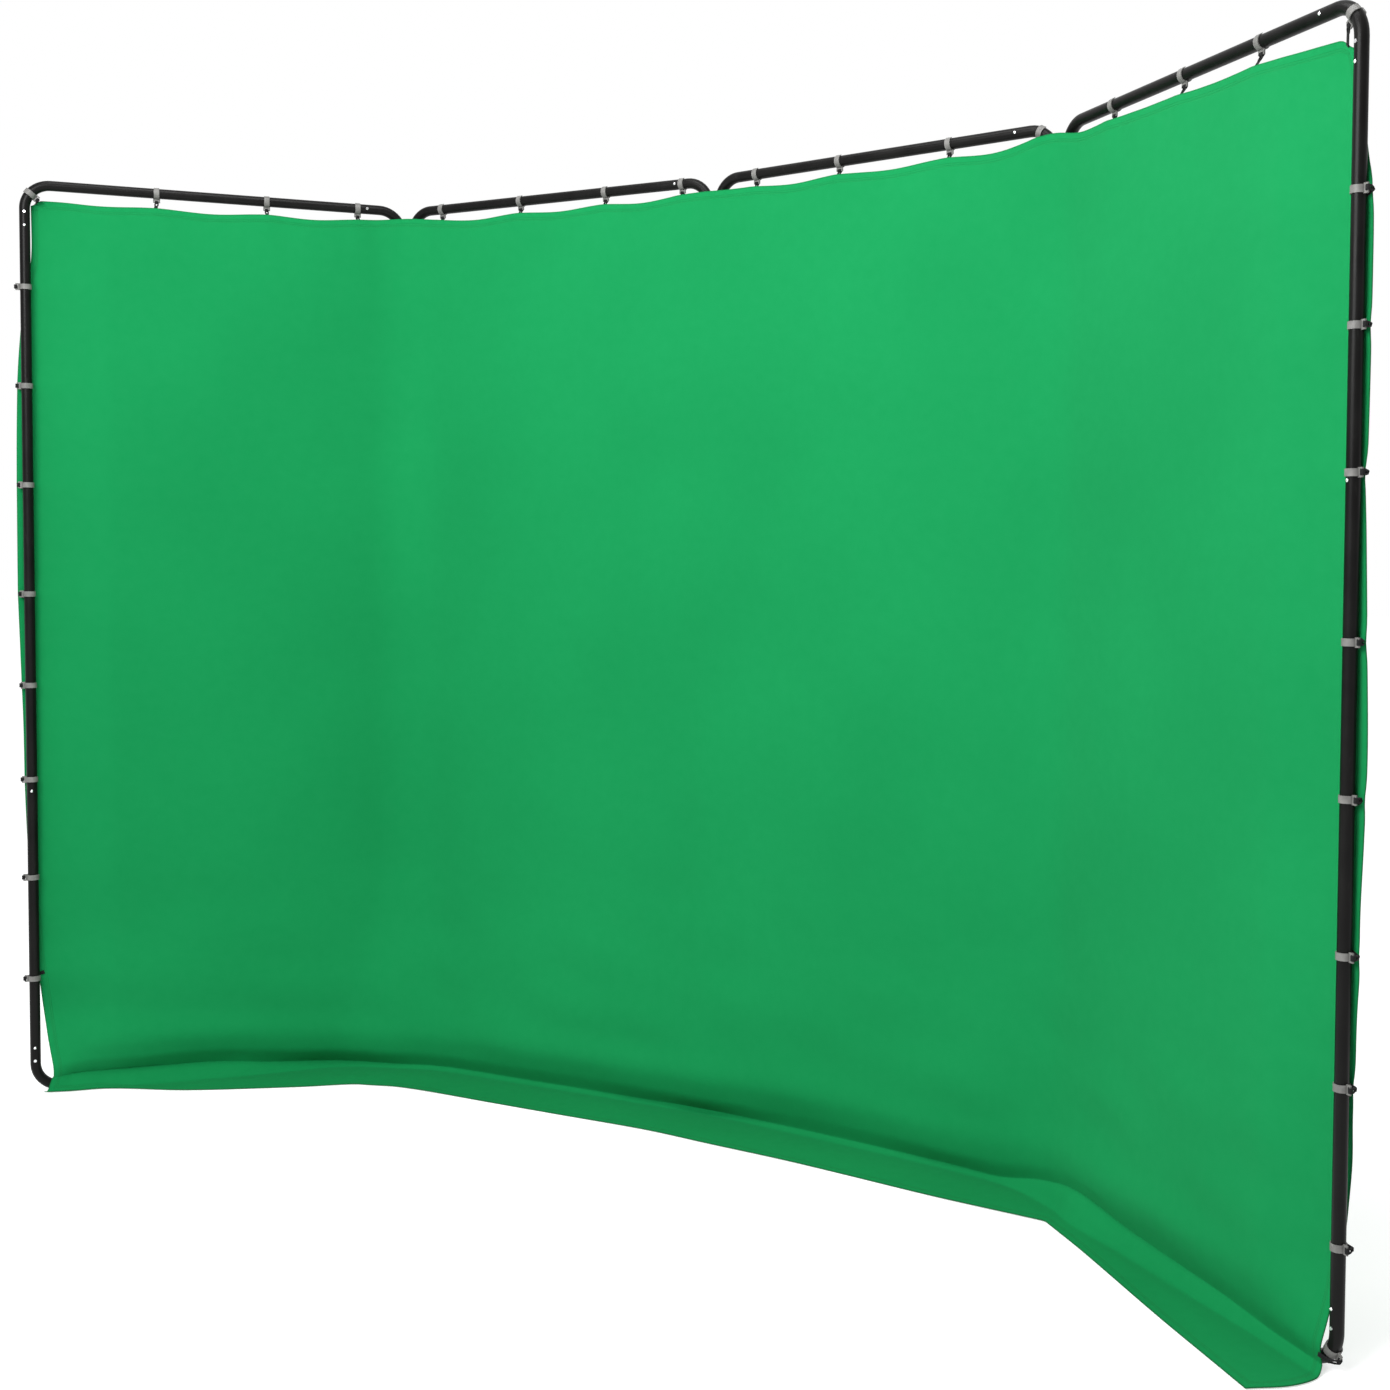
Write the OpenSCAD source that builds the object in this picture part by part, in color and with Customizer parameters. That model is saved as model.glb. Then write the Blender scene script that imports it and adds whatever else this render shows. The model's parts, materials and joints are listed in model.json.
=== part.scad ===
// Collapsible backdrop wall: four hinged tube frames carrying one cloth that ends in a floor skirt.
// Each panel is drawn in its own axes: X runs along the panel from the axis of its left post,
// -Y is the front (cloth side) and Z is up. panel_place() then stands it in the curved row.

/* [Wall] */
// Height of the frames
panel_h = 2300; // [2000:10:2500]
// Distance between neighbouring hinge axes
panel_pitch = 950; // [800:10:1100]
// Turn of the leftmost panel out of line with its neighbour, degrees
turn_a = 47.5; // [10:0.5:60]
// Turn between the two middle panels, degrees
turn_b = 9; // [0:0.5:30]
// Turn of the rightmost panel out of line with its neighbour, degrees
turn_c = 31; // [10:0.5:60]
// Tightest turn that a hinge closes to, degrees
turn_max = 75; // [65:1:80]

/* [Tubes] */
// Outer diameter of the frame tube
tube_d = 25; // [20:0.5:32]
// Wall thickness of the frame tube
tube_wall = 1.5; // [1:0.1:2.5]
// Radius of the corner bends at the tube's centre line
bend_r = 60; // [45:1:90]
// Straight leg below each corner bend
leg_len = 26; // [20:1:60]
// Radial clearance of a sleeved joint
sleeve_gap = 0.05; // [0.02:0.01:0.1]

/* [Joints in the tubes] */
// Height of the snap button in the left post
left_button_z = 770; // [500:5:1000]
// Height of the snap button in the right post
right_button_z = 1504; // [1200:5:1800]
// Position of the snap button along the top rail
rail_button_x = 830; // [700:5:835]
// Distance from a corner button to its rivet
rivet_pitch = 33; // [26:1:40]
// Diameter of the snap buttons
button_d = 6.4; // [5:0.1:8]
// Travel of a snap button
button_travel = 4.2; // [3:0.1:4.5]

/* [Hinges] */
// Distance between the two posts at a hinge
post_gap = 28; // [26.5:0.5:34]
// Height of one hinge clamp
clamp_h = 36; // [24:1:60]
// Radial clearance of the collar that turns on its post
collar_gap = 0.06; // [0.03:0.01:0.1]

/* [Cloth] */
// Thickness of the cloth
cloth_t = 1.6; // [1:0.1:2.5]
// Gap between the top rail and the hem below it
top_gap = 21; // [15:1:40]
// How far the hem stands out past the end posts
hem_out = 11; // [5:1:20]
// Depth of the skirt on the floor in front of the wall
skirt_depth = 205; // [150:5:250]

/* [Hidden] */
$fn = 48;
eps = 0.01;
tube_r = tube_d / 2;
bore_r = tube_r - tube_wall;
post_pitch = panel_pitch - post_gap;
rail_z = panel_h - tube_r;
corner_z = panel_h - tube_r - bend_r;
joint_z = corner_z - leg_len;

// Inner sleeves: the couplers in the corners and the reduced ends of the tubes
sleeve_r = bore_r - sleeve_gap;
sleeve_wall = 1.4;
sleeve_len = 56;
shoulder_len = 3;
button_setback = 17;
post_seam_above = 25;
button_play = 0.4;
rivet_play = 0.1;
corner_button_z = joint_z - button_setback + 0.5;
rivet_d = 4;
rivet_head_d = 7;
rivet_head_h = 1.4;
button_tip_y = 0.2 - bore_r - button_travel;
leaf_y = -sleeve_r + sleeve_wall + 1.6;
leaf_t = 0.7;
leaf_w = 8;
leaf_len = 26;
leaf_below = 8;
tip_h = 1;
tip_taper = 2.4;

// Hinge clamps: a split collar fixed on one post and a round collar that turns on the next
clamp_z = [330, 1150, 1970];
collar_wall = 3.2;
lug_len = 15;
lug_w = 26;
slit_w = 2;
bolt_d = 5;
bolt_head_d = 8.5;
bolt_head_h = 5;
nut_d = 9.2;
nut_h = 4;
hex_socket_d = 4.6;
hex_socket_h = 3;
bolt_inset = 6.5;

// Clips round the edge of the cloth
clip_w = 13;
clip_wall = 2;
clip_gap = 0.05;
bend_clip_gap = 0.5;
clip_mouth = 80;
mouth_rise = 0.85;
tab_w = 17;
tab_t = 3;
tab_reach = 23;
elastic_t = 2;
elastic_w = 10;
elastic_eye_at = 0.3;
elastic_eye_d = 4;
hem_overlap = 6;
top_left_clip_turn = 52;
top_right_clip_turn = 48;
bottom_right_clip_turn = 58;
corner_strap = 14;
third_panel_clip_turn = 27;
left_clip_z = [2033, 1787, 1540, 1267, 1037, 799, 550, 292];
right_clip_z = [1979, 1758, 1517, 1237, 976, 713, 491, 220];
top_clip_x = [[308, 576, 806], [102, 357, 620, 846], [117, 360, 659], [184, 426, 659]];

// Cloth: it runs in front of the tubes and passes behind the two end posts
cloth_front = -(tube_r + collar_wall + 1);
cloth_mid = cloth_front - cloth_t / 2;
cloth_back = tube_r + 5;
cloth_top = panel_h - tube_d - top_gap;
cross_in = 125;
cross_out = 45;
corner_cut = [90, 275];
layer_step = cloth_t + 0.5;
layer = [layer_step, 0, layer_step, 0];
skirt_end = [55, skirt_depth, skirt_depth, 175, 185];
skirt_full_x = 700;
skirt_past_end = 45;

// Places the panel number n (0 to 3, left to right); panel 1 stands along the X axis.
// The shift puts the middle of that panel's skirt over the origin.
module panel_place(n) {
    translate([-panel_pitch / 2, skirt_depth / 2, 0])
        if (n == 0) rotate(turn_a) translate([-panel_pitch, 0, 0]) children();
        else if (n == 1) children();
        else translate([panel_pitch, 0, 0]) rotate(-turn_b)
            if (n == 2) children();
            else translate([panel_pitch, 0, 0]) rotate(-turn_c) children();
}

// Turns a piece of the panel's upper half over into the same place in its lower half.
module half_turn() {
    translate([post_pitch, 0, panel_h]) rotate([0, 180, 0]) children();
}

module both_halves() {
    children();
    half_turn() children();
}

// A tube along Z from z0 to z1.
module tube_z(z0, z1, r_out = tube_r, r_in = bore_r) {
    translate([0, 0, z0]) difference() {
        cylinder(r = r_out, h = z1 - z0);
        translate([0, 0, -1]) cylinder(r = r_in, h = z1 - z0 + 2);
    }
}

// A tube along X from x0 to x1, at the height of the top rail.
module tube_x(x0, x1, r_out = tube_r, r_in = bore_r) {
    translate([0, 0, rail_z]) rotate([0, 90, 0]) tube_z(x0, x1, r_out, r_in);
}

// A quarter bend at the top left corner, from the post's axis to the rail's axis.
module bend_left() {
    translate([bend_r, 0, corner_z]) rotate([90, 0, 0]) rotate(90)
        rotate_extrude(angle = 90) translate([bend_r, 0]) difference() {
            circle(r = tube_r);
            circle(r = bore_r);
        }
}

module bend_right() {
    translate([post_pitch, 0, 0]) mirror([1, 0, 0]) bend_left();
}

// A hole through the front wall only, at a point of the panel.
module front_hole(x, z, d) {
    translate([x, 0, z]) rotate([90, 0, 0]) cylinder(d = d, h = tube_r + 2);
}

// The rail with its own left bend; its right end is reduced to plug into the corner piece.
module rail_piece() {
    seam = rail_button_x - button_setback;
    difference() {
        union() {
            tube_z(joint_z, corner_z);
            bend_left();
            tube_x(bend_r, seam);
            tube_x(seam - shoulder_len, seam, tube_r, sleeve_r - sleeve_wall);
            tube_x(seam - 1, post_pitch - bend_r - 2, sleeve_r, sleeve_r - sleeve_wall);
        }
        front_hole(rail_button_x, rail_z, button_d + button_play);
        front_hole(0, corner_button_z + rivet_pitch, rivet_d + rivet_play);
    }
}

module corner_piece() {
    seam = rail_button_x - button_setback;
    difference() {
        union() {
            tube_x(seam, post_pitch - bend_r);
            bend_right();
            translate([post_pitch, 0, 0]) tube_z(joint_z, corner_z);
        }
        front_hole(rail_button_x, rail_z, button_d + button_play);
        front_hole(post_pitch, corner_button_z + rivet_pitch, rivet_d + rivet_play);
    }
}

// The upper part of a post; its lower end is reduced to plug into the lower part.
module upper_post(button_z) {
    seam = button_z + post_seam_above;
    difference() {
        union() {
            tube_z(seam, joint_z);
            tube_z(seam, seam + shoulder_len, tube_r, sleeve_r - sleeve_wall);
            tube_z(seam - sleeve_len, seam + 1, sleeve_r, sleeve_r - sleeve_wall);
        }
        front_hole(0, button_z, button_d + button_play);
        front_hole(0, corner_button_z, button_d + button_play);
    }
}

module lower_post(button_z) {
    seam = button_z + post_seam_above;
    difference() {
        tube_z(panel_h - joint_z, seam);
        front_hole(0, button_z, button_d + button_play);
        front_hole(0, panel_h - corner_button_z, button_d + button_play);
    }
}

// A short inner tube that joins a post to the leg of a corner.
module coupler() {
    difference() {
        tube_z(corner_z - sleeve_len - 24, corner_z - 1, sleeve_r, sleeve_r - sleeve_wall);
        front_hole(0, corner_button_z, button_d + button_play);
        front_hole(0, corner_button_z + rivet_pitch, rivet_d + rivet_play);
    }
}

// A domed button on the leaf of its spring, at a point of the panel; the leaf runs along Z.
module snap_button() {
    rotate([90, 0, 0]) {
        translate([0, 0, -leaf_y - eps]) cylinder(d = button_d, h = leaf_y - button_tip_y - tip_h);
        translate([0, 0, -button_tip_y - tip_h - 2 * eps])
            cylinder(d1 = button_d, d2 = button_d - tip_taper, h = tip_h);
    }
    translate([-leaf_w / 2, leaf_y, -leaf_below]) cube([leaf_w, leaf_t, leaf_len]);
}

module rivet() {
    rotate([90, 0, 0]) {
        translate([0, 0, sleeve_r - sleeve_wall]) cylinder(d = rivet_d, h = tube_wall + 3);
        translate([0, 0, tube_r]) cylinder(d = rivet_head_d, h = rivet_head_h);
    }
}

// A grip clip on a tube that runs along X; its tab points down.
module clip(gap = clip_gap) {
    inner = tube_r + gap;
    outer = inner + clip_wall;
    difference() {
        union() {
            rotate([0, 90, 0]) translate([0, 0, -clip_w / 2]) cylinder(r = outer, h = clip_w);
            translate([-tab_w / 2, -tab_t / 2, -tab_reach]) cube([tab_w, tab_t, tab_reach - tube_r]);
        }
        rotate([0, 90, 0]) translate([0, 0, -tab_w]) cylinder(r = inner, h = 2 * tab_w);
        rotate([clip_mouth / 2, 0, 0])
            translate([-tab_w, 0, 0]) cube([2 * tab_w, 2 * outer, outer * mouth_rise]);
        translate([-elastic_w / 2 - 0.5, -tab_t, -tab_reach + 2])
            cube([elastic_w + 1, 2 * tab_t, elastic_t + 1]);
    }
}

// The elastic strap from a clip's tab to the back of the hem, which lies at dy and dz from the tube.
module elastic(dy, dz) {
    start_z = -tab_reach + 3.5;
    reach = norm([dy, dz - start_z]);
    tilt = atan2(dy, start_z - dz);
    translate([0, 0, start_z]) rotate([tilt, 0, 0]) rotate([90, 0, 0])
        linear_extrude(elastic_t, center = true) difference() {
            polygon([
                [-elastic_w / 2, 0], [elastic_w / 2, 0],
                [elastic_w / 4, -reach], [-elastic_w / 4, -reach]
            ]);
            translate([0, -reach * elastic_eye_at]) circle(d = elastic_eye_d);
        }
}

// Places a clip or a strap on the top rail, on a post or on a bend of the panel.
module on_rail(x) { translate([x, 0, rail_z]) children(); }
module on_left_post(z) { translate([0, 0, z]) rotate([0, 90, 0]) children(); }
module on_right_post(z) { translate([post_pitch, 0, z]) rotate([0, -90, 0]) children(); }

// The tab of a clip on a top bend points to the panel's middle.
module on_top_left_bend(angle) {
    translate([bend_r, 0, corner_z]) rotate([0, -angle, 0]) translate([0, 0, bend_r]) children();
}
module on_top_right_bend(angle) {
    translate([post_pitch - bend_r, 0, corner_z])
        rotate([0, angle, 0]) translate([0, 0, bend_r]) children();
}
// The tab of a clip on the bottom right bend points away from the panel.
module on_bottom_right_bend(angle) {
    translate([post_pitch - bend_r, 0, panel_h - corner_z])
        rotate([0, -angle, 0]) translate([0, 0, -bend_r]) children();
}

// Puts children at every clip of the panel: the first child on the straight top rail, the second
// on an end post, the third on a top corner, the fourth on the bottom bend and the fifth on the
// bend beside the last hinge, where the cloth still runs in front.
module at_clips(n) {
    for (x = top_clip_x[n]) on_rail(x) children(0);
    if (n == 0) {
        for (z = left_clip_z) on_left_post(z) children(1);
        on_top_left_bend(top_left_clip_turn) children(2);
    }
    if (n == 2) on_top_right_bend(third_panel_clip_turn) children(4);
    if (n == 3) {
        for (z = right_clip_z) on_right_post(z) children(1);
        on_top_right_bend(top_right_clip_turn) children(2);
        on_bottom_right_bend(bottom_right_clip_turn) children(3);
    }
}

// The clamp that holds two neighbouring posts, centred on its height.
module hinge_clamp() {
    outer = tube_r + collar_wall;
    difference() {
        translate([0, 0, -clamp_h / 2]) linear_extrude(clamp_h) difference() {
            union() {
                translate([post_pitch, 0]) circle(r = outer);
                translate([panel_pitch, 0]) circle(r = outer);
                translate([post_pitch, -outer / 2]) square([post_gap, outer]);
                translate([post_pitch - lug_w / 2, 0]) square([lug_w, tube_r + lug_len]);
            }
            translate([post_pitch, 0]) circle(r = tube_r + clip_gap);
            translate([panel_pitch, 0]) circle(r = tube_r + collar_gap);
            translate([post_pitch - slit_w / 2, 0]) square([slit_w, outer + lug_len]);
        }
        clamp_bolt_place() cylinder(d = bolt_d + 0.3, h = 4 * lug_w, center = true);
        clamp_bolt_place() translate([0, 0, lug_w / 2 - nut_h / 2])
            cylinder(d = nut_d + 0.4, h = nut_h, $fn = 6);
    }
}

// The axis of a clamp's bolt, along X through both lugs.
module clamp_bolt_place() {
    translate([post_pitch, tube_r + lug_len - bolt_inset, 0]) rotate([0, 90, 0]) children();
}

module clamp_bolt() {
    clamp_bolt_place() {
        translate([0, 0, -lug_w / 2]) cylinder(d = bolt_d, h = lug_w);
        translate([0, 0, -lug_w / 2 - bolt_head_h]) difference() {
            cylinder(d = bolt_head_d, h = bolt_head_h);
            translate([0, 0, -eps]) cylinder(d = hex_socket_d, h = hex_socket_h, $fn = 6);
        }
    }
}

module clamp_nut() {
    clamp_bolt_place() translate([0, 0, lug_w / 2 - nut_h / 2]) difference() {
        cylinder(d = nut_d, h = nut_h, $fn = 6);
        translate([0, 0, -1]) cylinder(d = bolt_d + 0.1, h = nut_h + 2);
    }
}

// Points of a strip of cloth that follows a route of [x, y] points, as a plan outline.
function strip(route, t) = concat(
    [for (p = route) [p[0], p[1] - t / 2]],
    [for (i = [len(route) - 1 : -1 : 0]) [route[i][0], route[i][1] + t / 2]]
);

// The plan route of the upright cloth of each panel.
hinge_cut = -cloth_mid * tan(turn_max / 2) + 2;
left_route = [
    [-tube_r - hem_out, cloth_back], [cross_out, cloth_back],
    [cross_in, cloth_mid], [panel_pitch - hinge_cut, cloth_mid]
];
middle_route = [[hinge_cut, cloth_mid], [panel_pitch - hinge_cut, cloth_mid]];
right_route = [
    [hinge_cut, cloth_mid], [post_pitch - cross_in, cloth_mid],
    [post_pitch - cross_out, cloth_back], [post_pitch + tube_r + hem_out, cloth_back]
];
routes = [left_route, middle_route, middle_route, right_route];

// Half of the turn at the left and right end of each panel.
half_turn_left = [0, turn_a / 2, turn_b / 2, turn_c / 2];
half_turn_right = [turn_a / 2, turn_b / 2, turn_c / 2, 0];

// The outline of the skirt on the floor, mitred on the hinge axes.
function skirt_outline(n) = let (
    d0 = skirt_end[n],
    d1 = skirt_end[n + 1],
    lift = cloth_mid + cloth_t / 2
) n == 0 ? [
        [cross_in, lift], [cross_in - 60, -d0], [skirt_full_x, -d1],
        [panel_pitch - d1 * tan(half_turn_right[n]), -d1], [panel_pitch, 0], [panel_pitch - 40, lift]
    ]
    : n == 3 ? [
        [40, lift], [0, 0], [d0 * tan(half_turn_left[n]), -d0], [post_pitch + skirt_past_end, -d1],
        [post_pitch + skirt_past_end - 10, -60], [post_pitch - cross_in, lift]
    ]
    : [
        [40, lift], [0, 0], [d0 * tan(half_turn_left[n]), -d0],
        [panel_pitch - d1 * tan(half_turn_right[n]), -d1], [panel_pitch, 0], [panel_pitch - 40, lift]
    ];

// The space beside a left hinge axis that the neighbour's cloth sweeps as the hinge closes.
module hinge_relief() {
    reach = 2 * skirt_depth;
    rotate(turn_max - 180) translate([-reach, -reach]) square([2 * reach, reach - cloth_front + cloth_t + 1]);
}

module skirt(n) {
    translate([0, 0, layer[n]]) linear_extrude(cloth_t) difference() {
        polygon(skirt_outline(n));
        if (n > 0) hinge_relief();
        if (n < 3) translate([panel_pitch, 0]) mirror([1, 0]) hinge_relief();
        translate([-panel_pitch, cloth_mid + cloth_t / 2]) square([3 * panel_pitch, skirt_depth]);
    }
}

// The upright cloth, cut away at the free lower corner where it crosses behind an end post.
module upright_cloth(n) {
    difference() {
        translate([0, 0, layer[n]]) linear_extrude(cloth_top - layer[n])
            polygon(strip(routes[n], cloth_t));
        if (n == 0) lower_corner_cut();
        if (n == 3) translate([post_pitch, 0, 0]) mirror([1, 0, 0]) lower_corner_cut();
    }
}

module lower_corner_cut() {
    rotate([90, 0, 0]) linear_extrude(200, center = true)
        polygon([
            [-100, -10], [cross_in, -10], [cross_in, tube_d + 5], [corner_cut[0], tube_d + 5],
            [-tube_r, corner_cut[1]], [-100, corner_cut[1]]
        ]);
}

// Materials
module black_tube() { color([0.06, 0.06, 0.07]) children(); }
module silver() { color([0.78, 0.78, 0.78]) children(); }
module grey_plastic() { color([0.62, 0.62, 0.6]) children(); }
module black_plastic() { color([0.1, 0.1, 0.1]) children(); }
module green_cloth() { color([0.13, 0.64, 0.37]) children(); }

// Sub-parts of one panel
module top_rail(n) { panel_place(n) black_tube() rail_piece(); }
module bottom_rail(n) { panel_place(n) black_tube() half_turn() rail_piece(); }
module elbows(n) { panel_place(n) black_tube() both_halves() corner_piece(); }
module left_upper_post(n) { panel_place(n) black_tube() upper_post(left_button_z); }
module left_lower_post(n) { panel_place(n) black_tube() lower_post(left_button_z); }
module right_upper_post(n) {
    panel_place(n) black_tube() translate([post_pitch, 0, 0]) upper_post(right_button_z);
}
module right_lower_post(n) {
    panel_place(n) black_tube() translate([post_pitch, 0, 0]) lower_post(right_button_z);
}
module couplers(n) {
    panel_place(n) silver() both_halves() {
        coupler();
        translate([post_pitch, 0, 0]) coupler();
    }
}
module snap_buttons(n) {
    panel_place(n) silver() {
        both_halves() {
            for (x = [0, post_pitch]) translate([x, 0, corner_button_z]) snap_button();
            translate([rail_button_x, 0, rail_z]) rotate([0, 90, 0]) snap_button();
        }
        translate([0, 0, left_button_z]) snap_button();
        translate([post_pitch, 0, right_button_z]) snap_button();
    }
}
module rivets(n) {
    panel_place(n) silver() both_halves()
        for (x = [0, post_pitch]) translate([x, 0, corner_button_z + rivet_pitch]) rivet();
}
module clips(n) {
    panel_place(n) grey_plastic() at_clips(n) {
        clip();
        clip();
        clip(bend_clip_gap);
        clip(bend_clip_gap);
        clip(bend_clip_gap);
    }
}
module elastics(n) {
    behind_front = cloth_mid + cloth_t / 2 + elastic_t;
    before_back = cloth_back - cloth_t / 2 - elastic_t / 2;
    panel_place(n) black_plastic() at_clips(n) {
        elastic(behind_front, cloth_top - rail_z - hem_overlap);
        elastic(before_back, 2 - tube_r - hem_out);
        elastic(before_back, -tab_reach - corner_strap);
        elastic(before_back, 2 - tube_r - hem_out);
        elastic(behind_front, -tab_reach - corner_strap);
    }
}
module cloth(n) {
    panel_place(n) green_cloth() {
        upright_cloth(n);
        skirt(n);
    }
}

// Sub-parts of one hinge, carried by the panel on its left
module clamps(n) {
    panel_place(n) black_plastic() for (z = clamp_z) translate([0, 0, z]) hinge_clamp();
}
module bolts(n) {
    panel_place(n) silver() for (z = clamp_z) translate([0, 0, z]) {
        clamp_bolt();
        clamp_nut();
    }
}

PANEL_PARTS = [
    "top_rail", "bottom_rail", "elbows", "left_upper_post", "left_lower_post", "right_upper_post",
    "right_lower_post", "couplers", "snap_buttons", "rivets", "clips", "elastics", "cloth"
];

for (n = [0:3]) {
    name = str("panel_", n + 1, "_");
    top_rail(n);
    bottom_rail(n);
    elbows(n);
    left_upper_post(n);
    left_lower_post(n);
    right_upper_post(n);
    right_lower_post(n);
    couplers(n);
    snap_buttons(n);
    rivets(n);
    clips(n);
    elastics(n);
    cloth(n);
}
for (n = [0:2]) {
    name = str("hinge_", n + 1, "_");
    clamps(n);
    bolts(n);
}
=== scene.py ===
import json
import math

import bpy
import numpy as np
from mathutils import Matrix, Vector


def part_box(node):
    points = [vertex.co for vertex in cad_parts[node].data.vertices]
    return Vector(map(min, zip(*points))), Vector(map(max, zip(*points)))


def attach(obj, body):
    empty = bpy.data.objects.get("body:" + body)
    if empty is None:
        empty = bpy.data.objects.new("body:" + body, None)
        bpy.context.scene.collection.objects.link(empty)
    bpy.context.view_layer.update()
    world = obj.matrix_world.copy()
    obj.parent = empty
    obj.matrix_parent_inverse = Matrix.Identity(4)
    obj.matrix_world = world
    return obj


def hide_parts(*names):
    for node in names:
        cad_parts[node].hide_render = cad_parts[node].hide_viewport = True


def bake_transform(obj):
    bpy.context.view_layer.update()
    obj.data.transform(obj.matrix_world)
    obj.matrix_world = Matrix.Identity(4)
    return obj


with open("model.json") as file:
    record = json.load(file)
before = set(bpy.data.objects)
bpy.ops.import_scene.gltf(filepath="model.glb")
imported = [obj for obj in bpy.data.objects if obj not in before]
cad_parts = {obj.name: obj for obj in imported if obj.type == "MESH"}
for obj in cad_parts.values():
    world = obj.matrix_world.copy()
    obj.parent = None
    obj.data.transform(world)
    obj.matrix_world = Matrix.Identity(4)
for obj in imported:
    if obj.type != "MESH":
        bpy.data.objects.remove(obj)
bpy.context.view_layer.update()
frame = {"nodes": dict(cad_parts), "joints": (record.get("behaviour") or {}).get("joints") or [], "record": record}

scene = bpy.context.scene

# ---------------------------------------------------------------- where the panels stand
JOINTS = {j["name"]: j for j in frame["joints"]}
MOUNTS = {m["name"]: m for m in frame["record"]["mounts"]}


def plan_point(values):
    return np.array(values[:2], float)


AXES = [
    plan_point(MOUNTS["left_end_post"]["pos_m"]),
    plan_point(JOINTS["hinge_1_fold"]["pos_m"]),
    plan_point(JOINTS["hinge_2_fold"]["pos_m"]),
    plan_point(JOINTS["hinge_3_fold"]["pos_m"]),
    plan_point(MOUNTS["right_end_post"]["pos_m"]),
]
PITCH = float(np.linalg.norm(AXES[2] - AXES[1]))
ALONG = [(b - a) / np.linalg.norm(b - a) for a, b in zip(AXES, AXES[1:])]
FRONT = [np.array([d[1], -d[0]]) for d in ALONG]
POST_PITCH = float(np.linalg.norm(AXES[4] - AXES[3]))
TUBE_R = MOUNTS["left_end_post"]["dims"]["r_mm"] / 1000
RAIL_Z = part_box("panel_2_top_rail")[1].z - TUBE_R
HEM_OUT = 0.011  # from an end post's surface to the side hem
HEM_W = 0.0215  # the width of the stitched hem
STITCH_ROWS = (0.0190, 0.0145)  # from the edge of the cloth
STITCH_W = 0.0014
WELD_PER_METRE = 20000  # vertices that round to one place on a 1/20 mm grid are one
S_LEFT = -TUBE_R - HEM_OUT
S_POST = 3 * PITCH + POST_PITCH
S_RIGHT = S_POST + TUBE_R + HEM_OUT
CLOTH_OFF = AXES[1][1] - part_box("panel_2_cloth")[1].y + 0.0008
CLOTH_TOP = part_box("panel_2_cloth")[1].z


def panel_vector(n, u, off, z):
    """The point at u along panel n (0 to 3), off in front of the line through its posts, z up."""
    p = AXES[n] + u * ALONG[n] + off * FRONT[n]
    return Vector((p[0], p[1], z))


def panel_local(n, p):
    """(u, off, z) of a point in the axes of panel n."""
    d = np.array([p[0], p[1]]) - AXES[n]
    return float(d @ ALONG[n]), float(d @ FRONT[n]), float(p[2])


def solid_centres(node):
    """The centre of the box round every separate solid in a CAD node."""
    mesh = frame["nodes"][node].data
    points = np.array([v.co for v in mesh.vertices])
    keys = np.round(points * WELD_PER_METRE).astype(np.int64)
    _, same = np.unique(keys, axis=0, return_inverse=True)
    same = same.reshape(-1)
    parent = list(range(int(same.max()) + 1))

    def root(i):
        while parent[i] != i:
            parent[i] = parent[parent[i]]
            i = parent[i]
        return i

    for e in mesh.edges:
        a, b = root(same[e.vertices[0]]), root(same[e.vertices[1]])
        if a != b:
            parent[b] = a
    owner = np.array([root(i) for i in same])
    solids = [points[owner == r] for r in np.unique(owner)]
    return [(q.min(0) + q.max(0)) / 2 for q in solids]


def smooth(a, b, x):
    t = np.clip((np.asarray(x, float) - a) / (b - a), 0, 1)
    return t * t * (3 - 2 * t)


def bump(centre, width, x):
    return np.exp(-((np.asarray(x, float) - centre) / width) ** 2)


# Where the clips hold the hem: along the wall on the top rails, and by height on the end posts.
TOP_HOOKS, LEFT_HOOKS, RIGHT_HOOKS = [], [], []
for n in range(4):
    for c in solid_centres(f"panel_{n + 1}_clips"):
        u, off, z = panel_local(n, c)
        if n == 0 and abs(u) < 0.03 and z < RAIL_Z - 0.1:
            LEFT_HOOKS.append(z)
        elif n == 3 and abs(u - POST_PITCH) < 0.03 and 0.1 < z < RAIL_Z - 0.1:
            RIGHT_HOOKS.append(z)
        elif z > RAIL_Z - 0.035:
            TOP_HOOKS.append(n * PITCH + u)
TOP_HOOKS.sort()
LEFT_HOOKS.sort()
RIGHT_HOOKS.sort()


# ---------------------------------------------------------------- camera
# Fitted to the straight tubes: the place, the direction and the lens that show them as they are seen.
camera_data = bpy.data.cameras.new("camera")
camera = bpy.data.objects.new("camera", camera_data)
scene.collection.objects.link(camera)
scene.camera = camera
camera_data.sensor_width = 36
camera_data.lens = 45.11
camera_data.shift_x = -0.0914
camera_data.shift_y = -0.0456
HEADING, DOWN, ROLL = (math.radians(a) for a in (116.866, 2.454, 0.363))
forward = Vector((math.cos(HEADING) * math.cos(DOWN), math.sin(HEADING) * math.cos(DOWN), -math.sin(DOWN)))
level = Vector((math.sin(HEADING), -math.cos(HEADING), 0))
upward = level.cross(forward)
right = level * math.cos(ROLL) + upward * math.sin(ROLL)
top = upward * math.cos(ROLL) - level * math.sin(ROLL)
camera.matrix_world = Matrix.Translation((2.6413, -3.6044, 1.3724)) @ Matrix(
    (right, top, -forward)
).transposed().to_4x4()


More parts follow.
